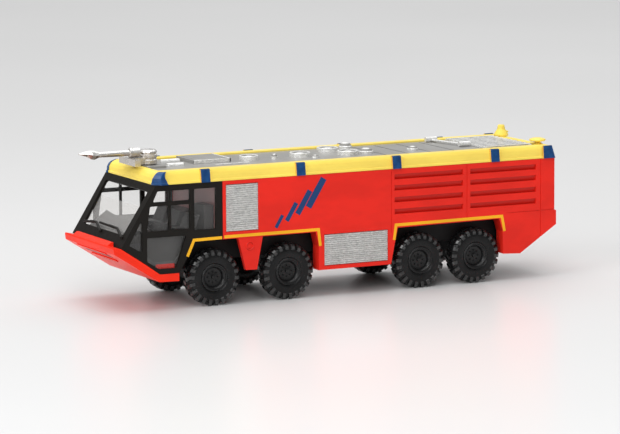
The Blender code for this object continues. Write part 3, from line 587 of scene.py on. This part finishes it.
PAINT_THICKNESS = 0.045
STRIPE_HALF_WIDTH = 0.42
STRIPES = {
    "stripe_cab": [(-1.9, 19.3), (6.7, 19.2), (8.75, 14.75)],
    "stripe_front": [(-2.6, 19.45), (-31.95, 19.45), (-32.5, 14.75)],
    "stripe_rear": [(-56.1, 14.75), (-56.7, 19.0), (-91.4, 19.15), (-92.3, 14.75)],
}


def paint_line(bm, line, half_width, sign):
    """Painted line through (x, z) points on one side of the body."""
    points = [(front_x(x), sign * SIDE_Y, z * MM) for x, z in line]
    add_strip(bm, points, half_width * MM, (0, sign, 0), PAINT_THICKNESS * MM)


def make_stripes():
    """Yellow lines over the wheel arches."""
    for side, sign in SIDES:
        for name, line in STRIPES.items():
            bm = bmesh.new()
            paint_line(bm, line, STRIPE_HALF_WIDTH, sign)
            new_object("%s_%s" % (name, side), to_mesh(name, bm), (stripe_yellow,))


MARK_BARS = 4
MARK_START = (-18.6, 20.9)
MARK_STEP = (-3.4, 1.7)
MARK_RISE, MARK_RISE_STEP = 3.4, 1.5
MARK_SLANT = 0.62
MARK_HALF_WIDTH, MARK_HALF_WIDTH_STEP = 0.5, 0.16


def make_mark():
    """Plain blue mark: slanted bars that rise along the side and grow towards the rear."""
    for side, sign in SIDES:
        bm = bmesh.new()
        for index in range(MARK_BARS):
            x = MARK_START[0] + index * MARK_STEP[0]
            foot = MARK_START[1] + index * MARK_STEP[1]
            rise = MARK_RISE + index * MARK_RISE_STEP
            line = [(x, foot), (x - rise * MARK_SLANT, foot + rise)]
            paint_line(bm, line, MARK_HALF_WIDTH + MARK_HALF_WIDTH_STEP * index, sign)
        new_object("side_mark_%s" % side, to_mesh("side_mark", bm), (mark_blue,))


# ---------------------------------------------------------------- skirt posts and bumper

POST_FACE_Y = 17.1
POST_FITTING = (-10.5, 16.3)
POST_RING = ((1.25, 0), (1.25, 0.13), (1.07, 0.22), (0.89, 0.1), (0.89, 0), (1.25, 0))
POST_PLUG = ((0, 0.06), (0.8, 0.04), (0.88, 0), (0, -0.1))


def make_post_fittings():
    """Moulded ring and plug near the top of the skirt between the front wheels."""
    x, z = POST_FITTING
    for side, sign in SIDES:
        centre = Vector((front_x(x), sign * POST_FACE_Y * MM, z * MM))
        for name, profile, steps in (("post_ring", POST_RING, 28), ("post_plug", POST_PLUG, 20)):
            bm = bmesh.new()
            add_lathe(bm, centre, "Y", in_metres(profile, sign), steps)
            bmesh.ops.remove_doubles(bm, verts=bm.verts, dist=WELD)
            new_object("%s_%s" % (name, side), to_mesh(name, bm, 40), (red,))


APRON_TOP = (30.8, 16.8)
APRON_FOOT = (17.3, 8.2)
APRON_SLOPE = Vector((APRON_FOOT[0] - APRON_TOP[0], 0, APRON_FOOT[1] - APRON_TOP[1]))
APRON_NORMAL = Vector((-APRON_SLOPE.z, 0, APRON_SLOPE.x)).normalized()
# name, share of the way down the apron, from y, to y, half width, thickness, material
APRON_STRIPS = (
    ("apron_recess_shade", 0.20, -9.5, 8.5, 0.95, 0.04, red_shadow),
    ("apron_brow", 0.07, -10.5, 9.5, 0.35, 0.30, bumper_red_painted_light),
    ("apron_lip", 0.36, -9.0, 8.0, 0.40, 0.34, bumper_red_painted_light),
)
SLOT_COUNT = 6
SLOT_FIRST_Y = -6.2
SLOT_PITCH = 1.9
SLOT_LENGTH = 1.1
SLOT_SHARE = 0.47


def on_apron(along, across):
    """Point on the bumper's sloping front apron, a share of the way down it."""
    point = Vector((APRON_TOP[0], across, APRON_TOP[1])) + APRON_SLOPE * along
    return Vector((front_x(point.x), point.y * MM, point.z * MM))


def apron_strip(name, share, start, end, half_width, thickness, material):
    """One raised strip across the apron."""
    bm = bmesh.new()
    line = [on_apron(share, across) for across in (start, end)]
    add_strip(bm, line, half_width * MM, APRON_NORMAL, thickness * MM)
    new_object(name, to_mesh(name, bm), (material,))


def make_bumper_trim():
    """Air intake on the apron: a thin dark strip of painted shade where its recess lies, between two raised
    lips, and a row of small dark strips of painted shade for the slots below.
    """
    for strip in APRON_STRIPS:
        apron_strip(*strip)
    for index in range(SLOT_COUNT):
        y = SLOT_FIRST_Y + index * SLOT_PITCH
        apron_strip("apron_slot_shade_%d" % index, SLOT_SHARE, y, y + SLOT_LENGTH, 0.5, 0.05, red_shadow)


# ---------------------------------------------------------------- wipers

SCREEN_TOP = Vector((18.2, 0, 35.1))
SCREEN_FOOT = Vector((28.7, 0, 18.4))
WIPER_STAND_OFF = 0.32
# tip, elbow and foot of each wiper, as distance across and down the windscreen
WIPERS = (((-13.4, 15.5), (-5.4, 14.7), (-0.4, 16.7)), ((-3.1, 14.5), (9.2, 14.7), (14.3, 16.7)))
BLADE_RADIUS = 0.36
ARM_RADIUS = 0.42
ARM_LIFT = 0.1
PIVOT = ((0, -0.3), (0.6, -0.3), (0.6, 0.1), (0.4, 0.3), (0, 0.3))


def on_screen(across, down):
    """Point just in front of the windscreen."""
    slope = (SCREEN_FOOT - SCREEN_TOP).normalized()
    normal = Vector((-slope.z, 0, slope.x))
    point = SCREEN_TOP + slope * down + normal * WIPER_STAND_OFF + Vector((0, across, 0))
    return Vector((front_x(point.x), point.y * MM, point.z * MM))


def add_rod(bm, points, radius, sides=8):
    """Round rod through a few points."""
    rings = []
    for index, point in enumerate(points):
        ahead = points[min(index + 1, len(points) - 1)] - points[max(index - 1, 0)]
        turn = ahead.to_track_quat("Z", "Y").to_matrix()
        ring = []
        for step in range(sides):
            angle = math.tau * step / sides
            ring.append(point + turn @ Vector((math.cos(angle) * radius, math.sin(angle) * radius, 0)))
        rings.append(ring)
    add_loft(bm, rings)


def make_wipers():
    for index, stations in enumerate(WIPERS, start=1):
        bm = bmesh.new()
        tip, elbow, foot = [on_screen(across, down) for across, down in stations]
        add_rod(bm, [tip, tip.lerp(elbow, 0.5), elbow], BLADE_RADIUS * MM)
        arm_end = tip.lerp(elbow, 0.55) + Vector((0, 0, ARM_LIFT * MM))
        add_rod(bm, [arm_end, elbow, foot], ARM_RADIUS * MM)
        add_lathe(bm, foot, "Z", in_metres(PIVOT), 16)
        new_object("wiper_%d" % index, to_mesh("wiper", bm, 40), (cab_black,))


# ---------------------------------------------------------------- roof fittings

SKIN = 0.06     # how far a silvered top stands out over the CAD fitting inside it
# x, y, radius and height of each
FILLERS = ((-18.4, 0.4, 2.7, 1.2), (-34.3, 1.0, 3.0, 1.2), (-46.5, -5.6, 3.1, 1.2), (-48.3, 3.6, 3.0, 1.2))
DOMES = ((-53.8, -8.6, 1.9, 1.9), (-54.4, 3.2, 2.1, 1.5), (-69.6, 3.2, 1.6, 1.1), (-36.9, 5.6, 0.9, 0.8))
POST = (-25.6, 2.2, 0.9, 1.4)
# x, y and half length of each
PIPES = ((3.2, -6.4, 3.0), (5.5, 2.4, 2.6))
PIPE_RADIUS = 0.75


def deck_point(x, y):
    return Vector((front_x(x), y * MM, DECK_Z))


def turned(name, x, y, axis, profile, steps=56):
    """Silvered round fitting on the deck."""
    bm = bmesh.new()
    add_lathe(bm, deck_point(x, y), axis, in_metres(profile), steps)
    new_object(name, to_mesh(name, bm, 35), (bright_silver,))


def filler_profile(radius, height):
    """Half section of a filler: domed cap, trough, rolled rim and outer wall."""
    outer = radius + SKIN
    top = height + SKIN
    wall = 0.55
    trough = 0.35
    cap = radius - 1.05
    cap_top = height - 0.05
    return [
        (0, cap_top), (cap * 0.5, cap_top - 0.08), (cap * 0.85, cap_top - 0.3), (cap, cap_top - 0.6),
        (cap + 0.08, trough), (outer - wall, trough), (outer - wall, top - 0.12), (outer - wall * 0.7, top),
        (outer - wall * 0.25, top), (outer, top - 0.14), (outer + 0.04, 0), (0, 0),
    ]


def dome_profile(radius, height):
    """Half section of a dome with a ring round its foot."""
    outer = radius + SKIN
    ring = height * 0.5
    return [
        (0, height + SKIN), (outer * 0.35, height), (outer * 0.6, height - 0.22), (outer * 0.74, ring + 0.1),
        (outer * 0.78, ring - 0.02), (outer * 0.9, ring + 0.02), (outer, ring - 0.15), (outer, 0), (0, 0),
    ]


def post_profile(radius, height):
    """Half section of a short post on a round foot."""
    neck = radius * 0.62
    return [
        (0, height + SKIN), (radius * 0.5, height + SKIN), (neck, height - 0.1), (neck, height * 0.55),
        (radius + SKIN, height * 0.5), (radius + SKIN, 0), (0, 0),
    ]


def pipe_profile(half_length):
    """Half section of a pipe with rounded ends."""
    radius = PIPE_RADIUS + SKIN
    end = half_length + SKIN
    shoulder = half_length - 0.15
    return [
        (0, -end), (radius * 0.7, -end), (radius, -shoulder),
        (radius, shoulder), (radius * 0.7, end), (0, end),
    ]


def make_roof_fittings():
    """Silvered tops over the fillers, domes, post and pipes that stand on the deck."""
    for index, (x, y, radius, height) in enumerate(FILLERS, start=1):
        turned("filler_%d" % index, x, y, "Z", filler_profile(radius, height))
    for index, (x, y, radius, height) in enumerate(DOMES, start=1):
        turned("dome_%d" % index, x, y, "Z", dome_profile(radius, height))
    x, y, radius, height = POST
    turned("deck_post", x, y, "Z", post_profile(radius, height))
    for index, (x, y, half_length) in enumerate(PIPES, start=1):
        turned("deck_pipe_%d" % index, x, y, "X", pipe_profile(half_length), 32)


# name, x from, x to, y from, y to, z over the deck from, to, material, slot, rounding
DECK_BLOCKS = (
    ("hatch_rim_rear", -12.1, -11.6, -10.3, 1.9, 0, 1.06, bright_silver, "deck_silver", 0.08),
    ("hatch_rim_left", -12.1, -0.6, 1.4, 1.9, 0, 1.06, bright_silver, "deck_silver", 0.08),
    ("hatch_step", -11.0, -1.6, -9.2, 0.8, 0.9, 1.1, deck_grey, "deck_grey", 0.08),
    ("deck_strip_left", -15.6, -5.0, 6.3, 6.8, 0, 0.22, bright_silver, "deck_silver", 0.08),
    ("grille_shadow", -104.3, -88.9, -12.1, 12.1, 0, 0.06, chassis_black, "deck_grey", 0.01),
)
PANEL_LINES_X = (-57.4, -64.6, -72.0, -79.6)
PANEL_LINE_HALF_WIDTH = 0.09
PANEL_LINE_HALF_LENGTH = 11.4
PANEL_LINE_HEIGHT = 0.035


def block(name, x_from, x_to, y_from, y_to, z_from, z_to, material, slot, edge):
    """Softened block on the deck."""
    low = deck_point(x_from, y_from) + Vector((0, 0, z_from * MM))
    high = deck_point(x_to, y_to) + Vector((0, 0, z_to * MM))
    bm = bmesh.new()
    add_box(bm, low, high)
    soften(new_object(name, to_mesh(name, bm, 35), (material,)), edge * MM)


def make_deck_trim():
    """Painted hatch edge, walkway strip, shade under the grille and panel lines on the deck."""
    for values in DECK_BLOCKS:
        block(*values)
    for index, x in enumerate(PANEL_LINES_X):
        across = (-PANEL_LINE_HALF_LENGTH, PANEL_LINE_HALF_LENGTH)
        block("deck_line_%d" % index, x - PANEL_LINE_HALF_WIDTH, x + PANEL_LINE_HALF_WIDTH, *across,
              0, PANEL_LINE_HEIGHT, chassis_black, "deck_grey", 0.01)


# x, half width, and low and high z over the fitting's foot
SPOUT_BEAK = ((-107.1, 0.9, 0.7, 1.9), (-108.3, 0.75, 0.75, 1.7), (-109.3, 0.45, 0.9, 1.4))
BEAK_STEPS = 12


def make_spout_beak():
    """Beak of the hooded spout at the tail."""
    low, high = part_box("rear_fitting_right")
    middle = (low.y + high.y) / 2
    bm = bmesh.new()
    sections = []
    for x, half, bottom, top in SPOUT_BEAK:
        ring = []
        for step in range(BEAK_STEPS):
            angle = math.tau * step / BEAK_STEPS
            rise = (bottom + top) / 2 + math.sin(angle) * (top - bottom) / 2
            ring.append((front_x(x), middle + math.cos(angle) * half * MM, low.z + rise * MM))
        sections.append(ring)
    add_loft(bm, sections)
    new_object("spout_beak", to_mesh("spout_beak", bm, 50), (yellow,))


# ---------------------------------------------------------------- cab inside

# y and z of points along the crest of the hood, from right to left
HOOD_CREST = ((-14.3, 24.7), (-13.6, 24.6), (-9.0, 24.0), (-6.0, 24.1), (0.0, 24.9), (5.0, 25.7), (9.0, 24.6),
              (14.3, 22.6))
HOOD_MEAN_CREST = 24
# name, x from, x to, distance from the middle from, to, z from, to, material, slot
DOOR_LININGS = (
    ("sill_strip", 12.0, 17.6, 15.2, 15.55, 11.6, 12.9, red, "red"),
    ("door_panel", 9.4, 20.6, 14.9, 15.3, 13.0, 20.6, door_grey, "interior"),
)
REAR_WALL = ((-1.9, -15.0, 20.3), (-1.7, 15.0, 33.6))


def make_dashboard_hood():
    """Hood that rises from the foot of the windscreen to an uneven crest."""
    bm = bmesh.new()
    sections = []
    for y, crest in HOOD_CREST:
        shoulder = 22.1 + (crest - HOOD_MEAN_CREST) * 0.4
        outline = [
            (18.6, 19.0), (26.2, 19.0), (26.2, 19.7), (22.6, shoulder), (19.3, crest), (18.6, crest - 0.5),
        ]
        sections.append([(front_x(x), y * MM, z * MM) for x, z in outline])
    add_loft(bm, sections)
    new_object("dashboard_hood", to_mesh("dashboard_hood", bm, 40), (hood_grey,))


def make_linings():
    """Red sill strip and grey panel inside each door, and a pale pink sheet before the cab's rear wall:
    painted reflection of the glazing over the red wall.
    """
    for side, sign in SIDES:
        for name, x_from, x_to, y_from, y_to, z_from, z_to, material, slot in DOOR_LININGS:
            bm = bmesh.new()
            near, far = sorted((sign * y_from * MM, sign * y_to * MM))
            add_box(bm, (front_x(x_from), near, z_from * MM), (front_x(x_to), far, z_to * MM))
            new_object("%s_%s" % (name, side), to_mesh(name, bm), (material,))
    bm = bmesh.new()
    low, high = [(front_x(x), y * MM, z * MM) for x, y, z in REAR_WALL]
    add_box(bm, low, high)
    new_object("rear_wall_painted_reflection", to_mesh("rear_wall_painted_reflection", bm), (wall_pink_painted_reflection,))


# ---------------------------------------------------------------- stage, lights and camera

FLOOR_CORNERS = ((-3, -6), (3, -6), (3, 3), (-3, 3))


def make_floor():
    bm = bmesh.new()
    bm.faces.new([bm.verts.new((x, y, 0)) for x, y in FLOOR_CORNERS])
    mesh = bpy.data.meshes.new("floor")
    bm.to_mesh(mesh)
    bm.free()
    floor = bpy.data.objects.new("floor", mesh)
    bpy.context.scene.collection.objects.link(floor)
    surface = Surface("floor_white", 0.27, specular=0.5)
    surface.colour(surface.ramp(surface.noise(3, 2), (0.83, 0.83, 0.83), (0.86, 0.86, 0.86)))
    surface.normal(surface.bump(surface.noise(600, 2), 0.02, 0.0003))
    mesh.materials.append(surface.material)


ROOM_BRIGHTNESS = 0.26
# name, place, aim, side length and power
AREA_LIGHTS = (
    ("overhead", (0.08, 0.15, 0.8), (0, 0, 0), 0.7, 3.0),
    ("backdrop", (-0.45, -0.95, 1.0), (-0.45, -0.95, 0), 2.0, 16.0),
    ("key", (0.35, 0.75, 0.5), (0, 0, 0.02), 0.45, 2.7),
    ("front", (0.85, 0.25, 0.45), (0, 0, 0.02), 0.5, 3.2),
)


def make_light():
    """Even white room and four square soft boxes. The Standard view keeps the paint's full colour."""
    bpy.context.scene.view_settings.view_transform = "Standard"
    world = bpy.data.worlds.new("studio")
    bpy.context.scene.world = world
    world.use_nodes = True
    background = world.node_tree.nodes["Background"]
    background.inputs["Color"].default_value = (1, 1, 1, 1)
    background.inputs["Strength"].default_value = ROOM_BRIGHTNESS
    for name, place, aim, size, power in AREA_LIGHTS:
        lamp = bpy.data.lights.new(name, "AREA")
        lamp.shape = "SQUARE"
        lamp.size = size
        lamp.energy = power
        light = bpy.data.objects.new(name, lamp)
        bpy.context.scene.collection.objects.link(light)
        light.location = place
        light.rotation_euler = (Vector(aim) - Vector(place)).to_track_quat("-Z", "Y").to_euler()


CAMERA_PLACE = (0.45182, 0.9031, 0.1645)
CAMERA_LENS_MM = 206.29
CAMERA_SENSOR_MM = 36.0
CAMERA_YAW, CAMERA_PITCH, CAMERA_ROLL = (math.radians(angle) for angle in (26.575, 8.119, -0.348))


def make_camera():
    """Camera that looks back along the truck's left side from ahead of it, a little from above."""
    flat = math.cos(CAMERA_PITCH)
    back = Vector((math.sin(CAMERA_YAW) * flat, math.cos(CAMERA_YAW) * flat, math.sin(CAMERA_PITCH)))
    level = Vector((-math.cos(CAMERA_YAW), math.sin(CAMERA_YAW), 0))
    above = back.cross(level)
    right = math.cos(CAMERA_ROLL) * level + math.sin(CAMERA_ROLL) * above
    up = -math.sin(CAMERA_ROLL) * level + math.cos(CAMERA_ROLL) * above
    data = bpy.data.cameras.new("camera")
    data.lens = CAMERA_LENS_MM
    data.sensor_width = CAMERA_SENSOR_MM
    data.clip_start = 0.05
    camera = bpy.data.objects.new("camera", data)
    bpy.context.scene.collection.objects.link(camera)
    turn = Matrix((right, up, back)).transposed()
    camera.matrix_world = Matrix.Translation(CAMERA_PLACE) @ turn.to_4x4()
    bpy.context.scene.camera = camera


dress_cad_nodes()
make_wheels()
make_shutters()
make_stripes()
make_mark()
make_post_fittings()
make_bumper_trim()
make_wipers()
make_roof_fittings()
make_deck_trim()
make_spout_beak()
make_dashboard_hood()
make_linings()
make_floor()
make_light()
make_camera()
